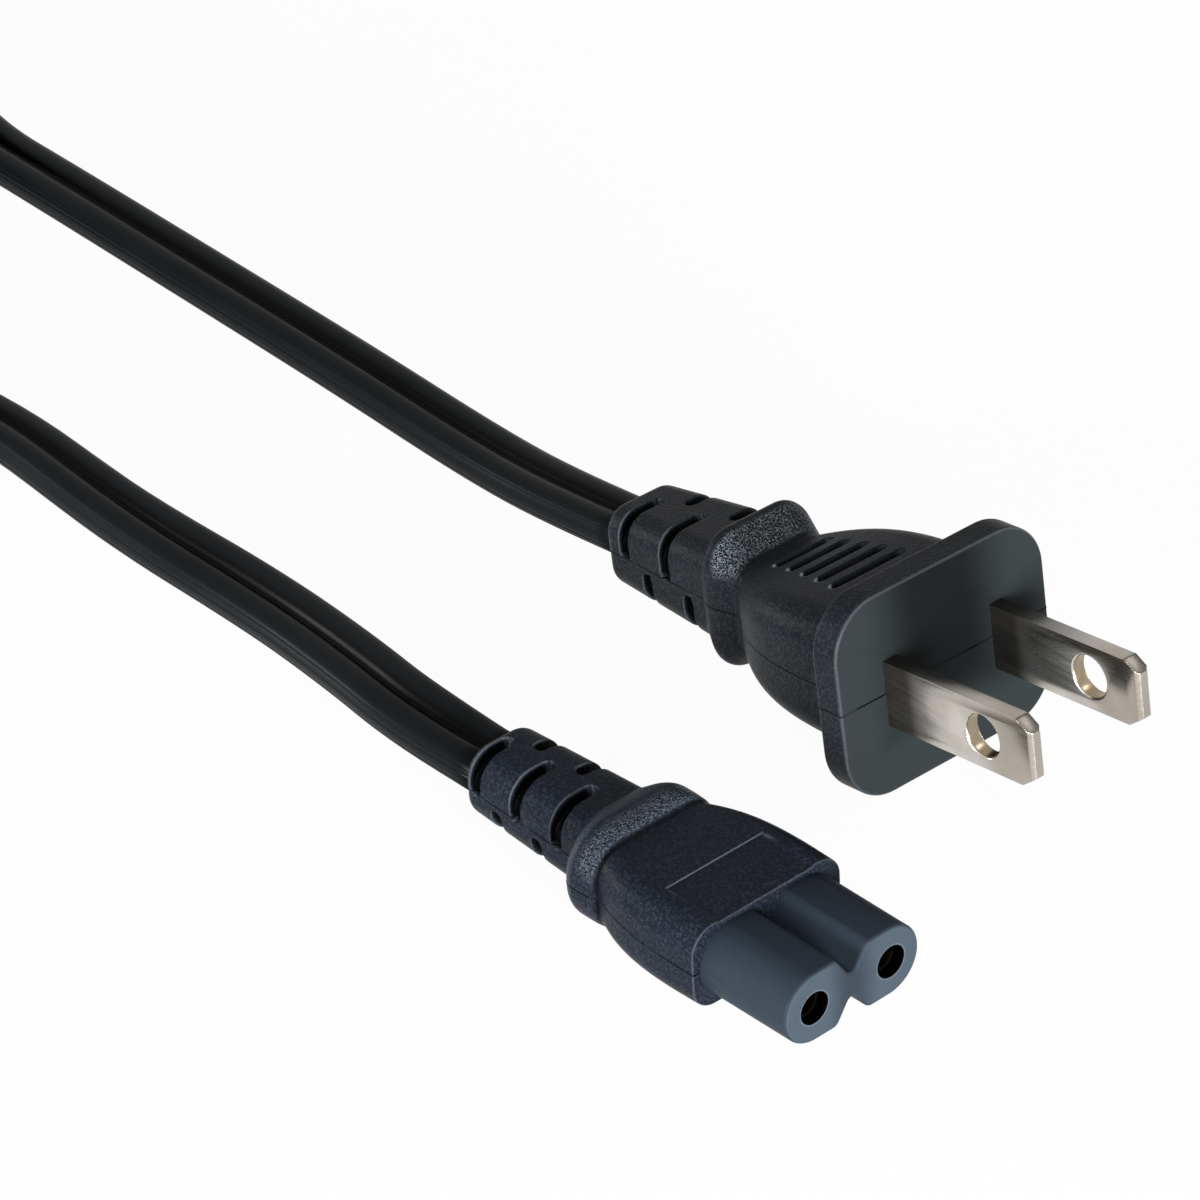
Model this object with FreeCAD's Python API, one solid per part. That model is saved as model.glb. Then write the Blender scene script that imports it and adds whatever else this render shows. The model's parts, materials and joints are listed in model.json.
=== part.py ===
"""Figure eight appliance connector on a flat twin lead, with a two blade mains plug at the far end.

Lengths are in millimetres. The connector lies level along X with its nose towards +X, over the
middle of its own footprint, and the lead and the plug lie on the same surface, z = 0. Each end is
drawn in a frame of its own, with x = 0 at its front face and the lead leaving towards -X.
"""
import FreeCAD, Part
import math
import os
from FreeCAD import Placement, Rotation, Vector

# Figure eight nose of the insert
nose_length = 10.0
nose_width = 15.0
nose_height = 6.7
nose_draft = 0.5            # degrees on each side
nose_edge_round = 0.35
notch_mouth = 3.5           # width of the top and bottom notches at the nose's flats
notch_floor = 1.0           # width where the notch's rounded floor starts
notch_depth = 1.85          # depth down to where the rounded floor starts
notch_floor_round = 0.25    # further dip of the rounded floor
notch_lip = 0.45            # how far the rounding of the mouth's edges reaches along each face
pin_spacing = 8.6           # centre to centre, as on the appliance inlet
entry_diameter = 3.0
entry_depth = 1.2

# Root of the insert, held inside the housing
root_length = 5.6
root_width = 13.0
root_height = 5.4
root_corner = 1.6

# Rolled contacts
contact_bore = 2.4
contact_wall = 0.4
contact_length = 9.2
contact_slit = 0.5
contact_clearance = 0.1
neck_length = 1.8
neck_width = 1.4
crimp_length = 4.4
crimp_bore = 1.3
crimp_wall = 0.45
strand_clearance = 0.05
strand_shows = 0.8          # bare strands between a crimp and its leg's insulation

# Connector housing
body_length = 13.2
body_front_width = 16.7
body_front_height = 8.0
body_neck_width = 13.2
body_neck_height = 7.9
body_crown = 0.2            # swell of the top and bottom halfway along
body_swell = 3.6            # how late the flanks turn in towards the neck
body_corner = 2.4
body_edge_round = 0.35
panel_length = 6.2
panel_width = 10.8
panel_depth = 0.15
collar_slope = 1.5
collar_land = 2.1
collar_back = 1.1
collar_width = 14.5
collar_height = 9.8
collar_corner = 4.5
collar_round = 0.75
collar_heel_width = 11.8
collar_heel_height = 8.9
boot_length = 15.4
boot_front_width = 8.9
boot_front_height = 7.9
boot_rear_width = 8.0
boot_rear_height = 7.0
boot_corner = 2.7
boot_edge_round = 0.5
boot_slot_pitch = 5.4
boot_slot_first = 1.3       # rear end to the middle of the first slot
boot_slots = (3, 2)         # long slots, and short ones between them

# Slots that let both strain reliefs flex
slot_width = 1.3
slot_depth_top = 1.0
slot_depth_side = 0.5
slot_overlap = 0.4          # a long slot runs this far past the middle of the top
slot_side_overlap = 0.2     # and this far past the middle of the side
slot_short_top = 0.7        # a short slot stops this far from the middle of the top
slot_short_side = 0.6       # and this far from the middle of the side

# Flat twin lead and its two legs inside the mouldings
cord_width = 6.8
cord_thickness = 3.4
leg_diameter = 3.2
connector_leg_split = 13.0  # rear end to where the legs start to part
connector_leg_reach = 8.0   # length over which they part
plug_leg_split = 17.0
plug_leg_reach = 8.5

# Plug housing
flange_width = 24.6
flange_height = 19.2
flange_thickness = 3.0
flange_corner = 5.0
flange_edge_round = 0.35
grip_length = 17.8
grip_front_width = 19.6
grip_front_height = 12.7
grip_neck_width = 10.9
grip_neck_height = 8.8
grip_width_swell = 3.8      # how late the sides turn in towards the neck
grip_height_swell = 2.4
grip_corner = 3.0
groove_count = 5
groove_pitch = 2.15
groove_first = 3.0          # neck to the middle of the first groove
groove_width = 1.0
groove_depth = 0.6
groove_length = 6.7
groove_growth = 0.5        # each groove is this much longer than the one behind it
ridge_slope = 2.8
ridge_land = 1.0
ridge_back = 1.2
ridge_height = 13.8         # both finger ridges, top to bottom
ridge_width = 12.0
ridge_corner = 3.2
ridge_round = 0.5
ridge_heel_width = 11.2
ridge_heel_height = 10.2
plug_boot_length = 14.7
plug_boot_front_width = 10.7
plug_boot_front_height = 9.7
plug_boot_rear_width = 8.8
plug_boot_rear_height = 8.0
plug_boot_corner = 2.4
plug_slot_pitch = 6.2
plug_slot_first = 2.7
plug_slots = (2, 2)

# Blades and the bridge that spaces them
blade_spacing = 12.7
blade_thickness = 1.5
blade_width = 6.35
blade_length = 17.9
blade_hole_diameter = 4.0
blade_hole_distance = 11.9
blade_hole_bevel = 0.15
blade_tip_length = 1.5
blade_tip_cut = 1.0
blade_tip_bevel = 0.35
tail_width = 3.6
tail_length = 2.4
bridge_depth = 1.6          # plug's face to the front of the bridge
bridge_thickness = 4.4
bridge_width = 17.0
bridge_height = 9.4
bridge_corner = 2.0

# Where the plug and the lead lie
plug_x = -0.54
plug_y = 33.08
plug_yaw = -1.52
connector_exit_run = 11.0   # straight out of each strain relief
plug_exit_run = 12.0
connector_route = [(-45.0, 2.2, 3.4), (-60.0, 4.3, 1.8), (-82.0, 4.8, 1.8), (-108.0, 6.8, 1.8),
                   (-130.0, 2.2, 1.8), (-150.0, -8.6, 1.8), (-170.0, -20.0, 2.6), (-190.0, -23.8, 3.9)]
plug_route = [(-66.5, 36.0, 1.9), (-87.0, 37.5, 1.8), (-114.0, 38.8, 1.8), (-145.0, 40.2, 1.8),
              (-163.0, 43.2, 2.0), (-177.0, 46.6, 2.9), (-190.0, 47.8, 3.9)]

# Put-away coil, the lead wound on its edge in two layers
coil_x = -190.0
coil_y = 12.0
coil_mean_radius = 33.25
coil_turns = 4              # turns side by side
coil_layers = 2
coil_slack = 0.1            # room between neighbouring turns
tie_thickness = 0.5
tie_width = 9.0

section_flat = 0.05         # least flat left between the rounded corners of a section


# Sections, lofts and tubes

def even_section(x, width, height, corner):
    """A closed rounded rectangle in the plane X = x, centred on the axis."""
    half = width / 2
    high = height / 2
    r = min(corner, half - section_flat, high - section_flat)
    inset = r * (1 - math.sqrt(0.5))
    quarters = []
    for y, z, sy, sz in ((half, high, 1, 1), (-half, high, -1, 1),
                         (-half, -high, -1, -1), (half, -high, 1, -1)):
        beside = Vector(x, y, z - sz * r)
        above = Vector(x, y - sy * r, z)
        middle = Vector(x, y - sy * inset, z - sz * inset)
        quarters.append((beside, middle, above) if sy == sz else (above, middle, beside))
    edges = []
    for quarter, following in zip(quarters, quarters[1:] + quarters[:1]):
        edges.append(Part.Arc(*quarter).toShape())
        edges.append(Part.LineSegment(quarter[2], following[0]).toShape())
    return Part.Wire(edges)


def tapered(sections):
    return Part.makeLoft(sections, True, True)


def swept(sections):
    return Part.makeLoft(sections, True, False)


def front_edges(shape, x):
    """The edges that lie in the plane X = x."""
    return [e for e in shape.Edges if max(abs(e.BoundBox.XMin - x), abs(e.BoundBox.XMax - x)) < 1e-4]


def rounded_at(shape, x, radius):
    """Rounds every edge in the plane X = x."""
    return shape.makeFillet(radius, front_edges(shape, x))


def rod(front, length, radius, y=0.0):
    """A round rod that runs back from x = front."""
    return Part.makeCylinder(radius, length, Vector(front, y, 0), Vector(-1, 0, 0))


def bar(x_range, y_range, z_range):
    """A block between two corners."""
    size = [b - a for a, b in (x_range, y_range, z_range)]
    return Part.makeBox(*size, Vector(x_range[0], y_range[0], z_range[0]))


def easing(front, neck, share, swell):
    """A size that stays near its front value and turns in to the neck's as share goes to 1."""
    return front - (front - neck) * share ** swell


def turn(before, corner, after, reach):
    """The tangent arc that rounds a corner, as three points, with its radius; it reaches that far back."""
    back = (before - corner).normalize()
    onward = (after - corner).normalize()
    half_turn = (math.pi - back.getAngle(onward)) / 2
    radius = reach / math.tan(half_turn)
    middle = corner + (back + onward).normalize() * (radius / math.cos(half_turn) - radius)
    return (corner + back * reach, middle, corner + onward * reach), radius


def route_wire(points):
    """Straight runs joined by tangent arcs, each as large as its two runs allow, and the radii."""
    points = [Vector(*p) for p in points]
    edges = []
    radii = []
    start = points[0]
    for before, corner, after in zip(points, points[1:], points[2:]):
        arc, radius = turn(before, corner, after, 0.45 * min((before - corner).Length, (after - corner).Length))
        edges.append(Part.LineSegment(start, arc[0]).toShape())
        edges.append(Part.Arc(*arc).toShape())
        radii.append(round(radius, 1))
        start = arc[2]
    edges.append(Part.LineSegment(start, points[-1]).toShape())
    return Part.Wire(edges), radii


def round_tube(points, radius):
    """A round rod along straight runs and tangent arcs."""
    spine, _ = route_wire(points)
    direction = Vector(*points[1]) - Vector(*points[0])
    circle = Part.Wire([Part.makeCircle(radius, Vector(*points[0]), direction)])
    return spine.makePipeShell([circle], True, False)


def flat_tube(points, name):
    """The flat lead swept along a route with its wide side level."""
    spine, radii = route_wire(points)
    start = Vector(*points[0])
    direction = (Vector(*points[1]) - start).normalize()
    across = Vector(0, 0, 1).cross(direction).normalize()
    up = direction.cross(across)
    r = cord_thickness / 2
    reach = across * (cord_width / 2 - r)
    edges = [Part.LineSegment(start - reach + up * r, start + reach + up * r).toShape(),
             Part.Arc(start + reach + up * r, start + reach + across * r, start + reach - up * r).toShape(),
             Part.LineSegment(start + reach - up * r, start - reach - up * r).toShape(),
             Part.Arc(start - reach - up * r, start - reach - across * r, start - reach + up * r).toShape()]
    pipe = Part.BRepOffsetAPI.MakePipeShell(spine)
    pipe.setFrenetMode(False)
    pipe.add(Part.Wire(edges), False, False)
    pipe.build()
    pipe.makeSolid()
    area = (cord_width - cord_thickness) * cord_thickness + math.pi * r ** 2
    print(name, "radii", radii, "length", round(spine.Length, 1),
          "volume ratio", round(pipe.shape().Volume / (area * spine.Length), 4))
    return pipe.shape()


# Sizes that follow from the driving ones

housing_front = -nose_length
neck_x = housing_front - body_length
collar_top_x = neck_x - collar_slope
collar_rear_x = collar_top_x - collar_land
heel_x = collar_rear_x - collar_back
connector_rear = heel_x - boot_length
connector_axis_z = collar_height / 2

sleeve_radius = contact_bore / 2 + contact_wall
crimp_radius = crimp_bore / 2 + crimp_wall
strand_radius = crimp_bore / 2 - strand_clearance
leg_radius = leg_diameter / 2
contact_rear = -entry_depth - contact_length
crimp_front = contact_rear - neck_length
crimp_rear = crimp_front - crimp_length

grip_front = -flange_thickness
grip_neck_x = grip_front - grip_length
ridge_x = grip_neck_x - ridge_slope
ridge_rear_x = ridge_x - ridge_land
plug_heel_x = ridge_rear_x - ridge_back
plug_rear = plug_heel_x - plug_boot_length
bridge_rear = -bridge_depth - bridge_thickness
tail_rear = bridge_rear - tail_length

# The plug leans back on the lower rear edge of its flange and its lower finger ridge
plug_pitch = math.atan2((flange_height - ridge_height) / 2, -ridge_rear_x - flange_thickness)
plug_axis_z = flange_height / 2 * math.cos(plug_pitch) + flange_thickness * math.sin(plug_pitch)

connector_place = Placement(Vector(-connector_rear / 2, 0, connector_axis_z), Rotation())
plug_place = Placement(Vector(plug_x, plug_y, plug_axis_z),
                       Rotation(Vector(0, 0, 1), plug_yaw)
                       * Rotation(Vector(0, 1, 0), -math.degrees(plug_pitch)))

# The lead stands on its edge in the coil, so a layer is one width high and a turn one thickness wide
coil_pitch = cord_thickness + coil_slack
coil_half_width = coil_turns * coil_pitch / 2
coil_height = coil_layers * cord_width
coil_corner = cord_thickness / 2


# Strain relief slots, shared by both ends

def slot(x, reach, top_end, side_end):
    """A round-ended slot over the +Y top edge: from y = top_end out, and down to z = side_end."""
    r = slot_width / 2
    over_top = bar((x - r, x + r), (top_end + r, reach), (side_end + r, reach))
    top_round = Part.makeCylinder(r, reach, Vector(x, top_end + r, 0))
    side_round = Part.makeCylinder(r, reach, Vector(x, 0, side_end + r), Vector(0, 1, 0))
    corner = bar((x - reach, x + reach), (top_end, reach), (side_end, reach))
    return over_top.fuse([top_round, side_round]).common(corner)


def relief_slots(rear, first, pitch, counts, core):
    """Long slots over one top edge and the opposite bottom edge, short ones over the other two."""
    reach = cord_width + flange_thickness
    long_slots = [slot(rear + first + i * pitch, reach, -slot_overlap, -slot_side_overlap)
                  for i in range(counts[0])]
    short_slots = [slot(rear + first + (i + 0.5) * pitch, reach, slot_short_top, slot_short_side)
                   for i in range(counts[1])]
    tools = []
    for tool in [s.mirror(Vector(), Vector(0, 1, 0)) for s in long_slots] + short_slots:
        turned = tool.copy()
        turned.rotate(Vector(), Vector(1, 0, 0), 180)
        tools += [tool.cut(core), turned.cut(core)]
    return tools


def boot(front_x, rear_x, front_size, rear_size, corner, first, pitch, counts):
    """A tapered strain relief whose slots stop at an inner core."""
    body = tapered([even_section(front_x, *front_size, corner), even_section(rear_x, *rear_size, corner)])
    body = rounded_at(body, rear_x, boot_edge_round)
    slimmer = [(w - 2 * slot_depth_side, h - 2 * slot_depth_top) for w, h in (front_size, rear_size)]
    core = tapered([even_section(front_x, *slimmer[0], corner - slot_depth_side),
                    even_section(rear_x, *slimmer[1], corner - slot_depth_side)])
    return body.cut(relief_slots(rear_x, first, pitch, counts, core))


def leg_points(rear, split, reach, wide, front):
    """Centre line of one leg: straight through the strain relief, then out to its terminal."""
    narrow = math.copysign((cord_width - cord_thickness) / 2, wide)
    return [(rear, narrow, 0), (rear + split, narrow, 0), (rear + split + reach, wide, 0), (front, wide, 0)]


def leg_and_strands(rear, split, reach, wide, crimp_x):
    """One insulated leg of the lead, and the bare strands that run through it into its crimp."""
    points = leg_points(rear, split, reach, wide, crimp_x)
    strands = round_tube(points, strand_radius)
    stripped = rod(crimp_x, crimp_length + strand_shows, leg_diameter, wide)
    return round_tube(points, leg_radius).cut([strands, stripped]), strands


# Figure eight connector

def eight_section(x, grow):
    """Outline of the nose: two half round lobes, joined by a web between rounded notches."""
    half = nose_width / 2 + grow
    high = nose_height / 2 + grow
    lobe = nose_width / 2 - nose_height / 2
    mouth = notch_mouth / 2
    floor = notch_floor / 2
    ledge = nose_height / 2 - notch_depth + grow
    dip = ledge - notch_floor_round

    def at(y, z):
        return Vector(x, y, z)

    path = []
    for s in (1, -1):
        lip, _ = turn(at(s * lobe, s * high), at(s * mouth, s * high), at(s * floor, s * ledge), notch_lip)
        far_lip, _ = turn(at(-s * floor, s * ledge), at(-s * mouth, s * high), at(-s * lobe, s * high), notch_lip)
        path += [(at(s * lobe, s * high), lip[0]),
                 lip,
                 (lip[2], at(s * floor, s * ledge)),
                 (at(s * floor, s * ledge), at(0, s * dip), at(-s * floor, s * ledge)),
                 (at(-s * floor, s * ledge), far_lip[0]),
                 far_lip,
                 (far_lip[2], at(-s * lobe, s * high)),
                 (at(-s * lobe, s * high), at(-s * half, 0), at(-s * lobe, -s * high))]
    return Part.Wire([(Part.Arc(*p) if len(p) == 3 else Part.LineSegment(*p)).toShape() for p in path])


def insert_envelope():
    """The nose and its root without their chambers."""
    grow = nose_length * math.tan(math.radians(nose_draft))
    nose = tapered([eight_section(0, 0), eight_section(housing_front, grow)])
    nose = rounded_at(nose, 0, nose_edge_round)
    root = tapered([even_section(housing_front, root_width, root_height, root_corner),
                    even_section(housing_front - root_length, root_width, root_height, root_corner)])
    return nose.fuse(root)


def connector_insert():
    """The moulded nose with an entry, a contact chamber and a crimp passage behind each pin hole."""
    shape = insert_envelope()
    for side in (-1, 1):
        y = side * pin_spacing / 2
        shape = shape.cut([rod(0, entry_depth, entry_diameter / 2, y),
                           rod(-entry_depth, contact_length + contact_clearance,
                               sleeve_radius + contact_clearance, y),
                           rod(-entry_depth, nose_length + root_length, crimp_radius + contact_clearance, y)])
    return shape


def connector_contact(side):
    """A sleeve rolled from strip with its slit outwards, a flat neck and a crimp barrel."""
    y = side * pin_spacing / 2
    sleeve = rod(-entry_depth, contact_length, sleeve_radius, y)
    bore = rod(-entry_depth, contact_length, contact_bore / 2, y)
    slit = bar((contact_rear, -entry_depth), sorted((y, y + side * sleeve_radius * 2)),
               (-contact_slit / 2, contact_slit / 2))
    neck_bottom = -math.sqrt(crimp_radius ** 2 - (neck_width / 2) ** 2)
    neck = bar((crimp_front - crimp_wall, contact_rear + crimp_wall), (y - neck_width / 2, y + neck_width / 2),
               (neck_bottom, neck_bottom + contact_wall))
    barrel = rod(crimp_front, crimp_length, crimp_radius, y).cut(rod(crimp_front, crimp_length, crimp_bore / 2, y))
    floor = rod(contact_rear + contact_wall, contact_wall, sleeve_radius, y)
    neck = neck.cut(rod(-entry_depth, contact_length, contact_bore / 2, y))
    return sleeve.cut([bore, slit]).fuse([neck, floor, barrel]).cut(rod(crimp_front, crimp_length, crimp_bore / 2, y))


def connector_collar():
    """The raised finger rim behind the body: a sloping front, a land, and a short rear slope."""
    rim = tapered([even_section(neck_x, body_neck_width, body_neck_height, body_corner),
                   even_section(collar_top_x, collar_width, collar_height, collar_corner),
                   even_section(collar_rear_x, collar_width, collar_height, collar_corner),
                   even_section(heel_x, collar_heel_width, collar_heel_height, collar_corner)])
    rim = rounded_at(rim, collar_top_x, collar_round)
    return rounded_at(rim, collar_rear_x, collar_round)


def connector_body():
    """The flat waisted body with its front edge rounded and a shallow panel open to the front."""
    sections = []
    for share in (0.0, 0.25, 0.5, 0.7, 0.85, 1.0):
        width = easing(body_front_width, body_neck_width, share, body_swell)
        height = body_front_height + (body_neck_height - body_front_height) * share
        height += 8 * body_crown * share * (1 - share)
        sections.append(even_section(housing_front - share * body_length, width, height, body_corner))
    body = rounded_at(swept(sections), housing_front, body_edge_round)
    top = body_front_height / 2
    slope = (body_neck_height - body_front_height) / 2 / body_length + 4 * body_crown / body_length / 2
    corners = [Vector(housing_front, -panel_width / 2, top - panel_depth),
               Vector(housing_front - panel_length, -panel_width / 2, top - panel_depth + slope * panel_length),
               Vector(housing_front - panel_length, -panel_width / 2, collar_height),
               Vector(housing_front, -panel_width / 2, collar_height)]
    panel = Part.Face(Part.makePolygon(corners + corners[:1])).extrude(Vector(0, panel_width, 0))
    return body.cut(panel)


def connector_outer():
    relief = boot(heel_x, connector_rear, (boot_front_width, boot_front_height),
                  (boot_rear_width, boot_rear_height), boot_corner,
                  boot_slot_first, boot_slot_pitch, boot_slots)
    return connector_body().fuse([connector_collar(), relief])


# Two blade plug

def grip_size(share):
    """Width and height of the plug's grip at a share of its length."""
    return (easing(grip_front_width, grip_neck_width, share, grip_width_swell),
            easing(grip_front_height, grip_neck_height, share, grip_height_swell))


def plug_grooves():
    """Round-ended grooves across the top of the grip, each following the height there."""
    tools = []
    for i in range(groove_count):
        distance = grip_length - groove_first - i * groove_pitch
        x = grip_front - distance
        floor = grip_size(distance / grip_length)[1] / 2 - groove_depth
        half = (groove_length + i * groove_growth - groove_width) / 2
        r = groove_width / 2
        tools.append(bar((x - r, x + r), (-half, half), (floor, grip_front_height)))
        tools += [Part.makeCylinder(r, grip_front_height - floor, Vector(x, end, floor)) for end in (-half, half)]
    return tools


def plug_ridges():
    """The collar behind the grip, raised to a finger ridge above and below."""
    collar = tapered([even_section(grip_neck_x, grip_neck_width, grip_neck_height, grip_corner),
                      even_section(ridge_x, ridge_width, ridge_height, ridge_corner),
                      even_section(ridge_rear_x, ridge_width, ridge_height, ridge_corner),
                      even_section(plug_heel_x, ridge_heel_width, ridge_heel_height, ridge_corner)])
    return rounded_at(rounded_at(collar, ridge_x, ridge_round), ridge_rear_x, ridge_round)


def plug_outer():
    flange = tapered([even_section(0, flange_width, flange_height, flange_corner),
                      even_section(-flange_thickness, flange_width, flange_height, flange_corner)])
    flange = rounded_at(rounded_at(flange, 0, flange_edge_round), -flange_thickness, flange_edge_round)
    sections = [even_section(grip_front - share * grip_length, *grip_size(share), grip_corner)
                for share in (0.0, 0.25, 0.5, 0.7, 0.85, 1.0)]
    grip = swept(sections).cut(plug_grooves())
    relief = boot(plug_heel_x, plug_rear, (plug_boot_front_width, plug_boot_front_height),
                  (plug_boot_rear_width, plug_boot_rear_height), plug_boot_corner,
                  plug_slot_first, plug_slot_pitch, plug_slots)
    return flange.fuse([grip, plug_ridges(), relief])


def plug_blade(side):
    """A flat blade with a bevelled tip and a round hole, and a narrow tail rolled into a crimp."""
    y = side * blade_spacing / 2
    high = blade_width / 2
    outline = [(bridge_rear, -high), (blade_length - blade_tip_length, -high),
               (blade_length, blade_tip_cut - high), (blade_length, high - blade_tip_cut),
               (blade_length - blade_tip_length, high), (bridge_rear, high), (bridge_rear, -high)]
    near = y - blade_thickness / 2
    blade = Part.Face(Part.makePolygon([Vector(x, near, z) for x, z in outline]))
    blade = blade.extrude(Vector(0, blade_thickness, 0))
    tip = [e for e in front_edges(blade, blade_length) if e.BoundBox.YLength < blade_tip_bevel]
    blade = blade.makeChamfer(blade_tip_bevel, tip)
    hole_centre = Vector(blade_hole_distance, near, 0)
    hole = Part.makeCylinder(blade_hole_diameter / 2, blade_thickness, hole_centre, Vector(0, 1, 0))
    bevels = [Part.makeCone(blade_hole_diameter / 2 + blade_hole_bevel, blade_hole_diameter / 2,
                            blade_hole_bevel, Vector(blade_hole_distance, y + s * blade_thickness / 2, 0),
                            Vector(0, -s, 0)) for s in (-1, 1)]
    tail = bar((tail_rear, bridge_rear), (near, near + blade_thickness), (-tail_width / 2, tail_width / 2))
    barrel = rod(tail_rear, crimp_length, crimp_radius, y).cut(rod(tail_rear, crimp_length, crimp_bore / 2, y))
    return blade.cut([hole] + bevels).fuse([tail, barrel])


def plug_bridge(blades):
    """The rigid block inside the grip that holds the blades their distance apart."""
    block = tapered([even_section(-bridge_depth, bridge_width, bridge_height, bridge_corner),
                     even_section(bridge_rear, bridge_width, bridge_height, bridge_corner)])
    return block.cut(blades)


# Lead, coil and tie

def coil_section(grow):
    """Section through the ring of turns, in the plane Y = 0 of the coil's own frame."""
    inner = coil_mean_radius - coil_half_width - grow
    outer = coil_mean_radius + coil_half_width + grow
    low = tie_thickness - grow
    high = tie_thickness + coil_height + grow
    r = coil_corner + grow
    inset = r * (1 - math.sqrt(0.5))
    quarters = [((outer, low + r), (outer - inset, low + inset), (outer - r, low)),
                ((inner + r, low), (inner + inset, low + inset), (inner, low + r)),
                ((inner, high - r), (inner + inset, high - inset), (inner + r, high)),
                ((outer - r, high), (outer - inset, high - inset), (outer, high - r))]
    edges = []
    for quarter, following in zip(quarters, quarters[1:] + quarters[:1]):
        a, b, c = [Vector(x, 0, z) for x, z in quarter]
        edges.append(Part.Arc(a, b, c).toShape())
        edges.append(Part.LineSegment(c, Vector(following[0][0], 0, following[0][1])).toShape())
    return Part.Face(Part.Wire(edges))


def cord_coil():
    ring = coil_section(0).revolve(Vector(), Vector(0, 0, 1), 360)
    ring.translate(Vector(coil_x, coil_y, 0))
    return ring


def coil_tie():
    """A strap round the bundle of turns on the side away from the connector."""
    angle = math.degrees(tie_width / coil_mean_radius)
    strap = coil_section(tie_thickness).cut(coil_section(0)).revolve(Vector(), Vector(0, 0, 1), angle)
    strap.rotate(Vector(), Vector(0, 0, 1), 180 - angle / 2)
    strap.translate(Vector(coil_x, coil_y, 0))
    return strap


def lead_run(place, rear, exit_run, route, name):
    """One uncoiled stretch: straight out of a strain relief, along its route, up to the coil."""
    start = place.multVec(Vector(rear, 0, 0))
    straight = place.multVec(Vector(rear - exit_run, 0, 0))
    tube = flat_tube([tuple(start), tuple(straight)] + route, name)
    column = Part.makeCylinder(coil_mean_radius + coil_half_width, coil_height * 3,
                               Vector(coil_x, coil_y, -coil_height))
    return tube.cut(column)


def build():
    """Every node's shape in the shared frame, by name."""
    connector = {"connector_insert": connector_insert()}
    plug = {}
    for side, name in ((1, "left"), (-1, "right")):
        connector["connector_contact_" + name] = connector_contact(side)
        leg, strands = leg_and_strands(connector_rear, connector_leg_split, connector_leg_reach,
                                       side * pin_spacing / 2, crimp_front)
        connector["connector_leg_" + name] = leg
        connector["connector_strands_" + name] = strands
        plug["plug_blade_" + name] = plug_blade(side)
        leg, strands = leg_and_strands(plug_rear, plug_leg_split, plug_leg_reach,
                                       side * blade_spacing / 2, tail_rear)
        plug["plug_leg_" + name] = leg
        plug["plug_strands_" + name] = strands
    held = [s for n, s in connector.items() if n != "connector_insert"]
    connector["connector_housing"] = connector_outer().cut([insert_envelope()] + held)
    plug["plug_bridge"] = plug_bridge([plug["plug_blade_left"], plug["plug_blade_right"]])
    plug["plug_housing"] = plug_outer().cut(list(plug.values()))

    shapes = {}
    for place, pieces in ((connector_place, connector), (plug_place, plug)):
        for name, shape in pieces.items():
            placed = shape.copy()
            placed.Placement = place.multiply(placed.Placement)
            shapes[name] = placed
    shapes["cord_run_connector"] = lead_run(connector_place, connector_rear, connector_exit_run,
                                            connector_route, "connector run")
    shapes["cord_run_plug"] = lead_run(plug_place, plug_rear, plug_exit_run, plug_route, "plug run")
    shapes["cord_coil"] = cord_coil()
    shapes["coil_tie"] = coil_tie()
    return shapes


os.makedirs("parts", exist_ok=True)
for name, shape in build().items():
    solid = shape.Solids[0] if len(shape.Solids) == 1 else shape
    box = solid.BoundBox
    print(name, "solids", len(shape.Solids), "valid", solid.isValid(), "volume", round(solid.Volume, 1),
          "x", round(box.XMin, 2), round(box.XMax, 2), "y", round(box.YMin, 2), round(box.YMax, 2),
          "z", round(box.ZMin, 2), round(box.ZMax, 2))
    solid.exportStep("parts/" + name + ".step")
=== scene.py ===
import json
import math

import bmesh
import bpy
import numpy as np
from mathutils import Matrix, Vector

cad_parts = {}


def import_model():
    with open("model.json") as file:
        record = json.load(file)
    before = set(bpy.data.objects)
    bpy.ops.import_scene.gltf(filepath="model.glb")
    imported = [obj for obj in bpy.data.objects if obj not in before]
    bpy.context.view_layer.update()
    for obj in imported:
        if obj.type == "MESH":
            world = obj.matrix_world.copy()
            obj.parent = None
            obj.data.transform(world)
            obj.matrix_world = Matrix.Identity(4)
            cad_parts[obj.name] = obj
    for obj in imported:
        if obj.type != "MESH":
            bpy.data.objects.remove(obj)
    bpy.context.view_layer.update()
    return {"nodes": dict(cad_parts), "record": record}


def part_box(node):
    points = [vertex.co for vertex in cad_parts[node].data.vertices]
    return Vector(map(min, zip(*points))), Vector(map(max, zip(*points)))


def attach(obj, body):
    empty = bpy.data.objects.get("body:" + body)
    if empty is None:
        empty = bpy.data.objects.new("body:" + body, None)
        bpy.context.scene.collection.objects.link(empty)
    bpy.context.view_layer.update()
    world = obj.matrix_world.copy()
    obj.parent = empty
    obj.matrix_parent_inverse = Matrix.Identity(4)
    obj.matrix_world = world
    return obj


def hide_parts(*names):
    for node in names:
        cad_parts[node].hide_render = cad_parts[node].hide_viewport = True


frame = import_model()

MM = 0.001

# Camera, from the photograph's perspective
CAMERA_AZIMUTH = math.radians(49.705)
CAMERA_ELEVATION = math.radians(33.159)
CAMERA_ROLL = math.radians(-3.062)
CAMERA_DISTANCE = 461.14 * MM
CAMERA_TARGET = Vector((-40.87, 28.49, 0.0)) * MM
LENS = 150.05
SENSOR_WIDTH = 36.0
CLIP_START = 10 * MM

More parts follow.
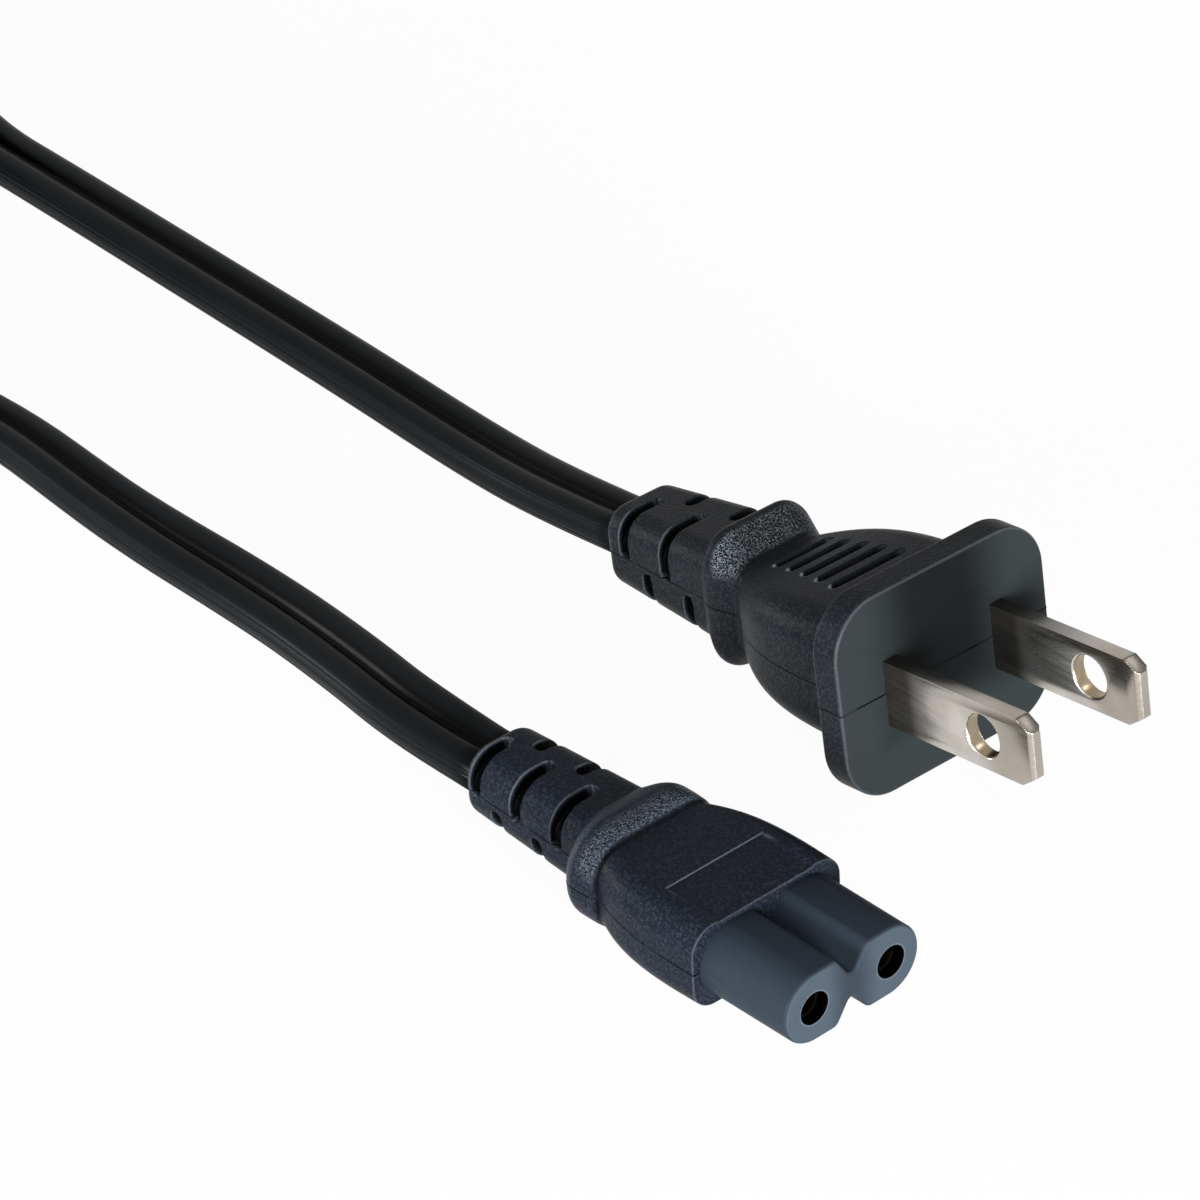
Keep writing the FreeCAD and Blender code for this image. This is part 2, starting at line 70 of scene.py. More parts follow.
# Studio: each lamp's place, size, power and the point that it shines at
ENDS = (-0.03, 0.02, 0.0)
LAMPS = {"key": ((0.66, -0.20, 0.08), 0.24, 19.0, ENDS),
         "side": ((0.05, -0.70, 0.10), 0.24, 10.5, ENDS),
         "above": ((0.12, 0.32, 0.50), 0.12, 0.4, ENDS),
         "far": ((0.22, 0.78, 0.12), 0.24, 3.0, (-0.05, 0.02, 0.0)),
         "rear": ((-0.88, -0.34, 0.12), 0.24, 3.0, (-0.10, 0.02, 0.0))}
FLOOR_HALF = 3.0
FLOOR_GREY = 0.8
FLOOR_GLOW = 0.96               # share of white light in the floor where it is looked at
SURROUND = 0.08                 # the world's strength for the rays that light the object

# Places of the two ends, read from the frame's interfaces
mounts = {m["name"]: m for m in frame["record"]["mounts"]}
plug_face = np.array(mounts["plug_face"]["pos_m"])
plug_ahead = np.array(mounts["plug_face"]["axis"])
plug_left = np.array(mounts["blade_holes"]["axis"])
plug_axes = np.stack([plug_ahead, plug_left, np.cross(plug_ahead, plug_left)])
nose_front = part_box("connector_insert")[1][0]
pin_left = mounts["pin_socket_left"]["pos_m"]
connector_face = np.array([nose_front, 0.0, pin_left[2]])
connector_axes = np.eye(3)

# Rows along each moulding, in mm: x behind its front, half width, half height, corner and how far
# the rounding of the profile reaches there
BODY_FRONT = -9.97
BODY_LENGTH = 13.2
BODY_HALF_WIDTHS = (8.35, 6.6)
BODY_HALF_HEIGHTS = (4.0, 3.95)
BODY_CROWN = 0.2
BODY_SWELL = 3.6
BODY_CORNER = 2.4
COLLAR_ROWS = [(-23.2, 6.6, 3.95, 2.4, 0.5), (-23.9, 7.1, 4.62, 3.9, 0.4), (-24.9, 7.25, 4.9, 4.5, 0.5),
               (-26.8, 7.25, 4.9, 4.5, 0.75), (-27.85, 5.9, 4.45, 4.3, 0.25)]
BOOT_ROWS = [(-28.0, 4.5, 3.97, 2.7, 0.35), (-43.3, 4.0, 3.5, 2.7, 0.8)]
BOOT_SLOTS = {"rear": -43.3, "first": 1.3, "pitch": 5.4, "counts": (3, 2)}
CONNECTOR_STEP = 0.35           # between stations along the connector
CONNECTOR_RING = (10, 24, 26)   # points of a quarter ring: on its side, round its corner, on its top

GRIP_LENGTH = 17.8
GRIP_HALF_WIDTHS = (9.8, 5.45)
GRIP_HALF_HEIGHTS = (6.35, 4.4)
GRIP_SWELLS = (3.8, 2.4)
GRIP_CORNER = 3.0
FLANGE_ROWS = [(0.0, 12.3, 9.6, 5.0, 0.35), (-3.0, 12.3, 9.6, 5.0, 0.35), (-3.0, 9.85, 6.4, 3.05, 0.5)]
RIDGE_ROWS = [(-20.8, 5.45, 4.4, 3.0, 1.1), (-23.6, 6.0, 6.9, 3.2, 0.5), (-24.6, 6.0, 6.9, 3.2, 0.5),
              (-25.75, 5.6, 5.1, 3.2, 0.35)]
PLUG_BOOT_ROWS = [(-25.9, 5.38, 4.87, 2.4, 0.35), (-40.5, 4.4, 4.0, 2.4, 0.8)]
PLUG_SLOTS = {"rear": -40.5, "first": 2.7, "pitch": 6.2, "counts": (2, 2)}
PLUG_STEP = 0.4
PLUG_RING = (9, 20, 34)

CURVE_ROWS = 25                 # rows along the body and the grip
CAP_INSET = 0.9                 # a moulding's flat ends start this far inside its outline
FRONT_ROUNDS = (0.18, 0.35)     # connector, plug
SLOT_HALF = 0.72
SLOT_DEPTHS = (0.55, 1.3)       # side, top
SLOT_EDGE = (-0.06, 0.05)       # where the rounded edge of a slot starts and ends
SLOT_LIP_HIGHLIGHT = (0.7, 0.05, 0.045)   # the painted highlight, a pale line behind a slot: its strength, place and half width
LONG_ENDS = (-0.4, -0.2)        # where a long slot ends past the middle of the top and side
SHORT_ENDS = (0.7, 0.6)
GROOVES = 5
GROOVE_PITCH = 2.15
GROOVE_FIRST = 3.0              # neck to the first groove
GROOVE_HALF = 0.5
GROOVE_EDGE = (-0.14, 0.1)
GROOVE_DEPTH = 0.6
GROOVE_LENGTHS = (6.7, 0.5)     # the first one's, and how much longer each next one is
GLINT_ENDS = (0.75, 0.55)       # a groove's glint starts and is full this far before its near end
GLINT_LINE = (-0.02, 0.13)      # place and half width of the glint round a groove
PANEL_HALF_WIDTH = 5.4
PANEL_LENGTH = 6.2
PANEL_DEPTH = 0.15
PANEL_EDGE = 0.05
SEAM_HEIGHT = 0.05
SEAM_HALF = 0.07
SEAM_SHARE = 0.1                # the part of a side whose points lie closer, for the parting line
EDGE_OFFSETS = np.array([-0.09, -0.05, -0.02, 0.01, 0.04, 0.08, 0.14])
# Coarse slopes: the soft limits of where they start and end behind the front, and from what height up
COLLAR_SLOPE = ((23.5, 23.9), (25.3, 26.0), (0.9, 2.8))
RIDGE_SLOPE = ((20.9, 21.5), (23.4, 23.8), (3.0, 4.5))
# Painted shade in the corners at the feet of the slopes: strength, place and half width
COLLAR_FOOT_SHADE = (0.95, -23.3, 0.27)
RIDGE_FOOT_SHADE = (0.5, -20.75, 0.3)
HOLE_RADIUS = 1.5 * MM
BLADE_SPACING = 12.7 * MM
BLADE_HOLE_DISTANCE = 11.9 * MM
NOSE_BEVEL = 0.08 * MM
BLADE_BEVEL = 0.12 * MM
MERGE_DISTANCE = 0.002 * MM
FLAT_ANGLE = math.radians(0.5)
SHARP_ANGLE = math.radians(28)

# Colours
BLACK = (0.0, 0.0, 0.0)
CONNECTOR_DARK, CONNECTOR_LIGHT = (0.004, 0.0055, 0.0095), (0.016, 0.020, 0.028)
# Painted sparkle: pale flecks for light caught by the coarse grains of the collar's slope
CONNECTOR_PAINTED_SPARKLE = (0.060, 0.074, 0.088)
PLUG_DARK, PLUG_LIGHT = (0.0045, 0.0055, 0.007), (0.016, 0.019, 0.023)
# Painted sparkle for the coarse slope of the plug's ridge, brighter than the collar's
PLUG_PAINTED_SPARKLE = (0.15, 0.175, 0.20)
# Painted reflection on the plug's smooth front face: dark in the middle and at the top, lighter by its outline
# and lower down
FACE_REFLECTION_DARK, FACE_REFLECTION_LIGHT = (0.0035, 0.0045, 0.005), (0.0140, 0.0170, 0.0180)
NOSE_DARK, NOSE_LIGHT = (0.013, 0.0175, 0.024), (0.018, 0.0245, 0.033)
# Painted light: the front of the nose's lobes, as if lit from the front
NOSE_FRONT_LIT = (0.030, 0.040, 0.051)
LEAD_DARK, LEAD_LIGHT = (0.003, 0.0038, 0.0045), (0.006, 0.007, 0.008)
STRAP_DARK, STRAP_LIGHT = (0.008, 0.009, 0.010), (0.016, 0.018, 0.020)
# Painted highlight: the paler colour of sharp edges, the panel's outline, the slots' rear lips and the pin
# holes' rims
EDGE_HIGHLIGHT = (0.10, 0.12, 0.14)
# Painted glint round the grooves on the grip, whitest by their near ends
GLINT = (0.45, 0.50, 0.55)
NICKEL_BRIGHT, NICKEL_DULL = (0.66, 0.63, 0.59), (0.52, 0.48, 0.43)
NICKEL_TIP = (0.33, 0.29, 0.245)
# Painted shade and dark reflection of the plug on the blade near its root
NICKEL_ROOT_REFLECTION = (0.045, 0.042, 0.038)
# Painted shade on the blade's upward faces and its top corner
NICKEL_TOP_SHADE = (0.03, 0.028, 0.025)
BRASS_TINGE = (0.24, 0.18, 0.10)
# Painted shade: the contacts are near black, to stand for the shade inside the pin holes
BRONZE_SHADE_DARK, BRONZE_SHADE_LIGHT = (0.003, 0.0025, 0.002), (0.006, 0.005, 0.004)
COPPER_DARK, COPPER_LIGHT = (0.60, 0.30, 0.17), (0.75, 0.42, 0.26)
CORE_DARK, CORE_LIGHT = (0.012, 0.012, 0.014), (0.02, 0.02, 0.022)
BRIDGE_DARK, BRIDGE_LIGHT = (0.02, 0.02, 0.022), (0.03, 0.03, 0.032)

# The lead's route between its ends and the coil. It lies near the frame's plain runs, and a little
# further out by the coil.
CONNECTOR_EXIT_RUN = 11.0 * MM
PLUG_EXIT_RUN = 12.0 * MM
CONNECTOR_ROUTE = [(-0.0450, 0.0022, 0.0040), (-0.0600, 0.0043, 0.0026), (-0.0820, 0.0048, 0.0018),
                   (-0.1080, 0.0068, 0.0018), (-0.1300, 0.0022, 0.0018), (-0.1500, -0.0086, 0.0018),
                   (-0.1700, -0.0227, 0.0026), (-0.1900, -0.0280, 0.0039)]
PLUG_ROUTE = [(-0.0665, 0.0360, 0.0019), (-0.0870, 0.0375, 0.0018), (-0.1140, 0.0388, 0.0018),
              (-0.1400, 0.0400, 0.0018), (-0.1540, 0.0405, 0.0018), (-0.1660, 0.0438, 0.0022),
              (-0.1760, 0.0490, 0.0029), (-0.1885, 0.0517, 0.0038)]
CORD_WIDTH = 6.8 * MM
CORD_THICKNESS = 3.4 * MM
SQUARENESS = 2.5                # power n of a conductor's rounded square
LOBE_END = 2.6                  # radians round a conductor where the web between the two starts
LEAD_GROOVE_SHADE = (1.8, 2.3)        # radians over which painted shade darkens the groove between them
RIB_ANGLES = (-0.6, -0.33, 0.33, 0.6)
RIB_DEPTH = 0.09 * MM
RIB_HALF = 0.06
TURN_PITCH = 3.5 * MM
TURNS = 7.5
TURN_POINTS = 16
LAYER_TURNS = 4                 # turns in a layer, which is also its number of lanes
FLOOR_GAP = 0.1 * MM
ENTRY = 0.6 * MM                # how far the lead runs on into each moulding
CHANGE_AT = 0.25                # share of a turn at which the lead changes lanes
CROSSOVER = 0.11                # share of a turn over which it does
# Distances from its ends, in metres, between which the lead turns on to its edge for the coil
CONNECTOR_TURN = (0.096, 0.155)
PLUG_TURN = (0.155, 0.114)
# Stretches from the connector where the lead leans to one side: radians, start and end
LEANS = [(-0.12, (0.0, 0.012), (0.040, 0.065)), (0.12, (0.050, 0.080), (0.096, 0.120))]


def blend(x, low, high):
    """Smooth step: 0 below low, 1 above high, and 3t^2 - 2t^3 between."""
    t = np.clip((x - low) / (high - low), 0.0, 1.0)
    return t * t * (3.0 - 2.0 * t)


def bell(x, middle, half):
    """Bell curve: e to minus the square of the distance from the middle over the half width."""
    return np.exp(-((x - middle) / half) ** 2)


# Mouldings

def quarter_ring(side_points, corner_points, top_points):
    """A quarter of a ring as rows (share of the flat across, cosine, share of the flat up, sine).

    A point of a rounded rectangle is its share of the flat plus the corner's radius times the cosine or sine.
    By the parting line the points of the side follow a square law.
    """
    side = SEAM_SHARE * np.linspace(0, 1, 5)[:-1] ** 2
    side = np.concatenate([side, np.linspace(SEAM_SHARE, 1, side_points)[:-1]])
    angle = np.linspace(0, math.pi / 2, corner_points)
    top = np.linspace(1, 0, top_points)[1:]
    return np.concatenate([
        np.stack([np.ones_like(side), np.ones_like(side), side, np.zeros_like(side)], 1),
        np.stack([np.ones_like(angle), np.cos(angle), np.ones_like(angle), np.sin(angle)], 1),
        np.stack([top, np.zeros_like(top), np.ones_like(top), np.ones_like(top)], 1)])


def whole_ring(quarter):
    """Four mirrored quarters, anticlockwise seen from the front."""
    across = np.array([-1, -1, 1, 1])
    up = np.array([1, 1, -1, -1])
    return np.concatenate([quarter[:-1], (quarter * across)[::-1][:-1],
                           (quarter * across * up)[:-1], (quarter * up)[::-1][:-1]])


def smooth_profile(rows, step, marks):
    """Stations along a profile of straight runs whose corners are quadratic curves.

    Stations lie a step apart, on every corner's curve, and at each marked x. The last column is the strength
    of the
    painted highlight on an edge there: the cube of the sine of an outward corner's turn, times 4t(1 - t) along
    its curve.
    """
    rows = np.array(rows)
    points = np.concatenate([rows[:, :4], np.zeros((len(rows), 1))], 1)
    curves = [points[:1]]
    t = np.linspace(0, 1, 9)[:, None]
    for before, corner, after, reach in zip(points, points[1:], points[2:], rows[1:, 4]):
        if reach:
            back, ahead = before - corner, after - corner
            back, ahead = back / np.linalg.norm(back[:3]), ahead / np.linalg.norm(ahead[:3])
            a, b = corner + back * reach, corner + ahead * reach
            curve = (1 - t) ** 2 * a + 2 * t * (1 - t) * corner + t ** 2 * b
            turn = back[1] * ahead[0] - back[0] * ahead[1]
            curve[:, 4:] = max(0.0, turn) ** 3 * 4 * t * (1 - t)
            curves.append(curve)
        else:
            curves.append(corner[None])
    curves.append(points[-1:])
    curve = np.concatenate(curves)
    gaps = np.linalg.norm(np.diff(curve[:, :3], axis=0), axis=1)
    curve = curve[np.concatenate([[True], gaps > 1e-6])]
    run = np.concatenate([[0], np.cumsum(np.linalg.norm(np.diff(curve[:, :3], axis=0), axis=1))])
    at = [run, np.arange(0, run[-1], step), np.interp(-np.asarray(marks), -curve[:, 0], run)]
    at = np.unique(np.round(np.concatenate(at), 3))
    return np.stack([np.interp(at, run, column) for column in curve.T], 1)


def edge_marks(middles, half):
    """Stations that follow both edges of each groove or slot: its middle, give or take half and an offset."""
    return np.concatenate([m + s * (half + EDGE_OFFSETS) for m in middles for s in (-1, 1)])


def stadium(along, inward, half):
    """Distance outside a groove's outline: across it by along, past its round end where inward is small."""
    return np.hypot(np.maximum(0.0, half - inward), along) - half


def slot_middles(rear, first, pitch, counts):
    """Places of the long slots, a pitch apart, and of the short ones halfway between them."""
    return ([rear + first + i * pitch for i in range(counts[0])],
            [rear + first + (i + 0.5) * pitch for i in range(counts[1])])


def slot_mask(x, y, z, slots):
    """1 in the strain relief's slots, 0 outside, a smooth step between, and the painted highlight on the lips
    behind them.

    Long slots lie over one top edge and the opposite bottom edge, short ones over the other two.
    """
    outside = np.full(x.shape, 9.0)
    lips = np.zeros(x.shape)
    strength, place, half = SLOT_LIP_HIGHLIGHT
    for middles, ends, side in zip(slot_middles(**slots), (LONG_ENDS, SHORT_ENDS), (-1, 1)):
        for s in (-1, 1):
            inward = np.minimum(side * s * y - ends[0], s * z - ends[1])
            for m in middles:
                past = stadium(x - m, inward, SLOT_HALF)
                outside = np.minimum(outside, past)
                # A painted highlight: a pale line behind the rear edge of each slot
                lips = np.maximum(lips, strength * (x < m) * bell(past, place, half))
    return 1.0 - blend(outside, *SLOT_EDGE), lips


def moulding(name, rows, slots, ring, step, marks, shape, face, axes):
    """A closed shell of rounded rectangles along a profile, with its slots pressed in to an inner core.

    The mask of the slots takes each point part or all of the way to the same point of the core, whose corner,
    half width and half height are smaller. The parting line is a low bell curve along both sides.
    """
    middles = np.concatenate(slot_middles(**slots))
    marks = np.concatenate([marks, edge_marks(middles, SLOT_HALF)])
    stations = smooth_profile(rows, step, marks)
    x, w, h, r, sharp = [column[:, None] for column in stations.T]
    fy, c, fz, s = ring.T[:, None, :]
    y = fy * (w - r) + r * c
    z = fz * (h - r) + r * s
    x = np.broadcast_to(x, y.shape)
    core_r = r - SLOT_DEPTHS[0]
    core_y = fy * (w - SLOT_DEPTHS[0] - core_r) + core_r * c
    core_z = fz * (h - SLOT_DEPTHS[1] - core_r) + core_r * s
    pressed, lips = slot_mask(x, y, z, slots)
    seam = SEAM_HEIGHT * bell(z, 0.0, SEAM_HALF) * np.sign(y) * (np.abs(fy) == 1)
    y = y + pressed * (core_y - y) + seam * (1 - pressed)
    z = z + pressed * (core_z - z)
    z, coarse, edge, painted_shade = shape(x, y, z, s == 1)
    piece = shell(name, face + MM * np.stack([x, y, z], -1) @ axes)
    mark(piece, "coarse", coarse)
    # Painted highlights on the profile's outward corners, round the panel, as glints by the grooves, and
    # behind each slot
    mark(piece, "edge", np.maximum(np.maximum(sharp, edge), lips))
    # Painted shade: black in the slots, the grooves and the corners at the feet of the slopes
    mark(piece, "painted_shade", np.maximum(blend(pressed, 0.02, 0.4), painted_shade))
    return piece


def shell(name, grid):
    """A mesh over rings of points: four-sided faces from ring to ring, and a flat cap at both ends."""
    rings, around = grid.shape[:2]
    i, j = np.meshgrid(np.arange(rings - 1), np.arange(around), indexing="ij")
    k = (j + 1) % around
    quads = np.stack([i * around + j, (i + 1) * around + j, (i + 1) * around + k, i * around + k], -1)
    faces = quads.reshape(-1, 4).tolist()
    smooth = [True] * len(faces) + [False, False]
    faces += [list(range(around)), list(range(rings * around - 1, (rings - 1) * around - 1, -1))]
    mesh = bpy.data.meshes.new(name)
    mesh.from_pydata(grid.reshape(-1, 3).tolist(), [], faces)
    mesh.polygons.foreach_set("use_smooth", smooth)
    return placed(name, mesh)


def placed(name, data):
    """A new object of the scene with that mesh, camera or light."""
    obj = bpy.data.objects.new(name, data)
    bpy.context.scene.collection.objects.link(obj)
    return obj


def mark(piece, layer, values):
    """Gives each point of a piece a number that its material reads."""
    values = np.ascontiguousarray(values, np.float32).ravel()
    piece.data.attributes.new(layer, "FLOAT", "POINT").data.foreach_set("value", values)


def body_rows():
    """The flat body: it keeps its width, then turns in to the neck, and is crowned halfway along.

    With t from 0 to 1 along it, the width falls by t to the power of its swell, and the crown adds 4t(1 - t).
    """
    share = np.linspace(0, 1, CURVE_ROWS)
    w = BODY_HALF_WIDTHS[0] - (BODY_HALF_WIDTHS[0] - BODY_HALF_WIDTHS[1]) * share ** BODY_SWELL
    h = BODY_HALF_HEIGHTS[0] - (BODY_HALF_HEIGHTS[0] - BODY_HALF_HEIGHTS[1]) * share
    h += 4 * BODY_CROWN * share * (1 - share)
    x = BODY_FRONT - share * BODY_LENGTH
    return np.stack([x, w, h, np.full_like(w, BODY_CORNER), 0 * w], 1).tolist()


def grip_rows():
    """The grip: its sides and its top each turn in to the neck by t to the power of their own swell."""
    share = np.linspace(0, 1, CURVE_ROWS)[1:-1]
    w, h = [a - (a - b) * share ** swell
            for (a, b), swell in zip((GRIP_HALF_WIDTHS, GRIP_HALF_HEIGHTS), GRIP_SWELLS)]
    x = FLANGE_ROWS[2][0] - share * GRIP_LENGTH
    return np.stack([x, w, h, np.full_like(w, GRIP_CORNER), 0 * w], 1).tolist()


def capped(rows, front_round):
    """A profile closed at both ends by flat faces that start a little inside its outline."""
    front, rear = [(x, w - CAP_INSET, h - CAP_INSET, r - CAP_INSET, 0)
                   for x, w, h, r, _ in (rows[0], rows[-1])]
    return [front, (*rows[0][:4], front_round)] + rows[1:] + [rear]


def front_slope(x, z, starts, ends, heights):
    """1 on the front slope of the collar or the ridge: a product of smooth steps along it and upwards."""
    return blend(-x, *starts) * (1 - blend(-x, *ends)) * blend(z, *heights)


def connector_shape(x, y, z, flat_top):
    """The panel let into the top with a painted highlight round its outline, the coarse slope of the collar
    and painted shade at its foot.
    """
    edge = np.maximum(np.abs(y) - PANEL_HALF_WIDTH, BODY_FRONT - PANEL_LENGTH - x)
    on_top = flat_top & (x > COLLAR_ROWS[0][0])
    low = np.where(on_top, 1 - blend(edge, -PANEL_EDGE, PANEL_EDGE), 0.0)
    strength, place, half = COLLAR_FOOT_SHADE
    # The third value is a painted highlight round the panel's outline, the last painted shade at the collar's
    # foot
    return (z - PANEL_DEPTH * low, front_slope(x, z, *COLLAR_SLOPE), 3 * low * (1 - low),
            strength * bell(x, place, half))


def groove_middles():
    """Places of the grooves across the grip, a pitch apart from the neck on."""
    return [FLANGE_ROWS[2][0] - GRIP_LENGTH + GROOVE_FIRST + i * GROOVE_PITCH for i in range(GROOVES)]


def plug_shape(x, y, z, flat_top):
    """The grooves across the top of the grip with glints painted round them and painted shade in them, the
    coarse slope of each ridge and painted shade at its foot. A groove is as deep as a smooth step of the
    distance inside its outline.
    """
    pressed = np.zeros(y.shape)
    glint = np.zeros(y.shape)
    for i, middle in enumerate(groove_middles()):
        end = (GROOVE_LENGTHS[0] + i * GROOVE_LENGTHS[1]) / 2
        outside = stadium(x - middle, end - np.abs(y), GROOVE_HALF)
        pressed = np.maximum(pressed, 1 - blend(outside, *GROOVE_EDGE))
        near_end = blend(-y, end - GLINT_ENDS[0], end - GLINT_ENDS[1])
        glint = np.maximum(glint, (0.25 + 1.75 * near_end) * bell(outside, *GLINT_LINE))
    on_top = flat_top & (z > 0)
    pressed = np.where(on_top, pressed, 0.0)
    strength, place, half = RIDGE_FOOT_SHADE
    foot = strength * bell(x, place, half)
    # The third value is the painted glint by the grooves, the last painted shade in the grooves and at the
    # ridge's foot
    return (z - GROOVE_DEPTH * pressed, front_slope(x, z, *RIDGE_SLOPE),
            np.where(on_top, np.minimum(glint, 1.6), 0.0), np.maximum(blend(pressed, 0.3, 0.9), foot))


def connector_skin():
    """The connector's moulding: body, collar and slotted strain relief along one profile."""
    rows = capped(body_rows()[:-1] + COLLAR_ROWS + BOOT_ROWS, FRONT_ROUNDS[0])
    marks = BODY_FRONT - PANEL_LENGTH + np.array([-0.08, -0.04, 0.0, 0.04, 0.08])
    return moulding("connector_skin", rows, BOOT_SLOTS, whole_ring(quarter_ring(*CONNECTOR_RING)),
                    CONNECTOR_STEP, marks, connector_shape, connector_face, connector_axes)


def plug_skin():
    """The plug's moulding: flange, grip, ridge and slotted strain relief along one profile."""
    rows = capped(FLANGE_ROWS + grip_rows() + RIDGE_ROWS + PLUG_BOOT_ROWS, FRONT_ROUNDS[1])
    marks = edge_marks(groove_middles(), GROOVE_HALF)
    return moulding("plug_skin", rows, PLUG_SLOTS, whole_ring(quarter_ring(*PLUG_RING)),
                    PLUG_STEP, marks, plug_shape, plug_face, plug_axes)


def bevelled(node, width, name):
    """A copy of a frame piece with its triangles merged and its sharp edges given a small bevel."""
    mesh = frame["nodes"][node].data.copy()
    work = bmesh.new()
    work.from_mesh(mesh)
    bmesh.ops.remove_doubles(work, verts=work.verts, dist=MERGE_DISTANCE)
    bmesh.ops.dissolve_limit(work, angle_limit=FLAT_ANGLE, verts=work.verts, edges=work.edges)
    work.to_mesh(mesh)
    work.free()
    mesh.polygons.foreach_set("use_smooth", [True] * len(mesh.polygons))
    piece = placed(name, mesh)
    bevel = piece.modifiers.new("edges", "BEVEL")
    bevel.width = width
    bevel.segments = 3
    bevel.limit_method = "ANGLE"
    bevel.angle_limit = SHARP_ANGLE
    bevel.harden_normals = True
    return piece


# Lead

def coil_points():
    """Control points of the coil: a clockwise spiral of lanes in two layers, which changes lanes on one side.

    A quadratic spline runs inside its control points, so they lie further out by the cosine of half a step.
    """
    low, high = [np.array(v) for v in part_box("cord_coil")]
    middle = (low + high) / 2
    outer = (high - low)[0] / 2 - TURN_PITCH / 2
    floor_height = low[2] + CORD_WIDTH / 2
    n = np.arange(1, round(TURNS * TURN_POINTS)) / TURN_POINTS
    change = [blend(n, CHANGE_AT + k - CROSSOVER / 2, CHANGE_AT + k + CROSSOVER / 2)
              for k in range(2 * LAYER_TURNS)]
    last = LAYER_TURNS - 1
    lane = sum(change[:last]) - sum(change[last + 1:-1])
    radius = (outer - TURN_PITCH * lane) / math.cos(math.pi / TURN_POINTS)
    angle = -math.pi / 2 - 2 * math.pi * n
    return np.stack([middle[0] + radius * np.cos(angle), middle[1] + radius * np.sin(angle),
                     floor_height + CORD_WIDTH * (change[last] - change[-1])], 1).tolist()


def lead_line():
    """The whole lead as one smooth spline through its route, read back as closely spaced points."""
    exit_point = connector_face + MM * BOOT_ROWS[-1][0] * connector_axes[0]
    plug_exit = plug_face + MM * PLUG_BOOT_ROWS[-1][0] * plug_axes[0]
    points = [exit_point, exit_point - CONNECTOR_EXIT_RUN * connector_axes[0], *CONNECTOR_ROUTE,
              *coil_points(), *PLUG_ROUTE[::-1], plug_exit - PLUG_EXIT_RUN * plug_axes[0], plug_exit]
    curve = bpy.data.curves.new("lead_line", "CURVE")
    curve.dimensions = "3D"
    spline = curve.splines.new("NURBS")
    spline.points.add(len(points) - 1)
    for place, point in zip(points, spline.points):
        point.co = (*place, 1.0)
    spline.order_u = 3
    spline.use_endpoint_u = True
    spline.resolution_u = 8
    carrier = bpy.data.objects.new("lead_line", curve)
    mesh = bpy.data.meshes.new_from_object(carrier)
    line = np.empty(len(mesh.vertices) * 3)
    mesh.vertices.foreach_get("co", line)
    bpy.data.objects.remove(carrier)
    return line.reshape(-1, 3)


def lead_section():
    """Half of the lead's outline is a rounded square, whose mirror image is the other conductor.

    A point at angle a round a conductor's middle is at the radius (|cos a|^n + |sin a|^n)^(-1/n). Fine ribs,
    which are bell curves, run along the outer sides. The last array is how much painted shade a point takes,
    by how deep in the groove it lies.
    The points run clockwise seen from ahead, so that the faces between them point outwards.
    """
    angle = np.concatenate([np.linspace(-LOBE_END, -0.9, 9), np.linspace(-0.8, 0.8, 25),
                            np.linspace(0.9, LOBE_END, 9)])
    powers = np.abs(np.cos(angle)) ** SQUARENESS + np.abs(np.sin(angle)) ** SQUARENESS
    radius = CORD_THICKNESS / 2 * powers ** (-1 / SQUARENESS)
    for middle in RIB_ANGLES:
        radius -= RIB_DEPTH * bell(angle, middle, RIB_HALF)
    wide = (CORD_WIDTH - CORD_THICKNESS) / 2 + radius * np.cos(angle)
    high = radius * np.sin(angle)
    groove = blend(np.abs(angle), *LEAD_GROOVE_SHADE)
    return np.concatenate([wide, -wide])[::-1], np.concatenate([high, -high])[::-1], np.tile(groove, 2)[::-1]


def lead_tube(line):
    """The section carried along the line: flat where it lies, and on its edge in the coil.

    The roll is a quarter turn times smooth steps of the distance from both ends, plus small leans. Where the
    section would reach below the floor, the line is lifted. A rounded square of power n reaches
    (|cos|^m + |sin|^m)^(1/m) from its middle, where 1/m = 1 - 1/n.
    """
    tangent = np.gradient(line, axis=0)
    tangent /= np.linalg.norm(tangent, axis=1, keepdims=True)
    across = np.cross([0.0, 0.0, 1.0], tangent)
    across /= np.linalg.norm(across, axis=1, keepdims=True)
    up = np.cross(tangent, across)
    run = np.concatenate([[0], np.cumsum(np.linalg.norm(np.diff(line, axis=0), axis=1))])
    left = run[-1] - run
    roll = math.pi / 2 * (blend(run, *CONNECTOR_TURN) + blend(-left, -PLUG_TURN[0], -PLUG_TURN[1]))
    for lean, start, end in LEANS:
        roll += lean * blend(run, *start) * (1 - blend(run, *end))
    c, s = np.cos(roll)[:, None], np.sin(roll)[:, None]
    across, up = c * across + s * up, c * up - s * across
    wide, high, groove = lead_section()
    power = SQUARENESS / (SQUARENESS - 1)
    lying, standing = np.abs(c[:, 0]), np.abs(s[:, 0])
    reach = (CORD_WIDTH - CORD_THICKNESS) / 2 * standing
    reach += CORD_THICKNESS / 2 * (lying ** power + standing ** power) ** (1 - 1 / SQUARENESS)
    line[:, 2] = np.maximum(line[:, 2], FLOOR_GAP + reach)
    path = line.copy()
    line[0] -= ENTRY * tangent[0]
    line[-1] += ENTRY * tangent[-1]
    grid = line[:, None] + across[:, None] * wide[None, :, None] + up[:, None] * high[None, :, None]
    piece = shell("lead", grid)
    # Painted shade in the groove between the conductors, for the lead's material
    mark(piece, "painted_shade", np.broadcast_to(groove, grid.shape[:2]))
    return piece, path


# Materials

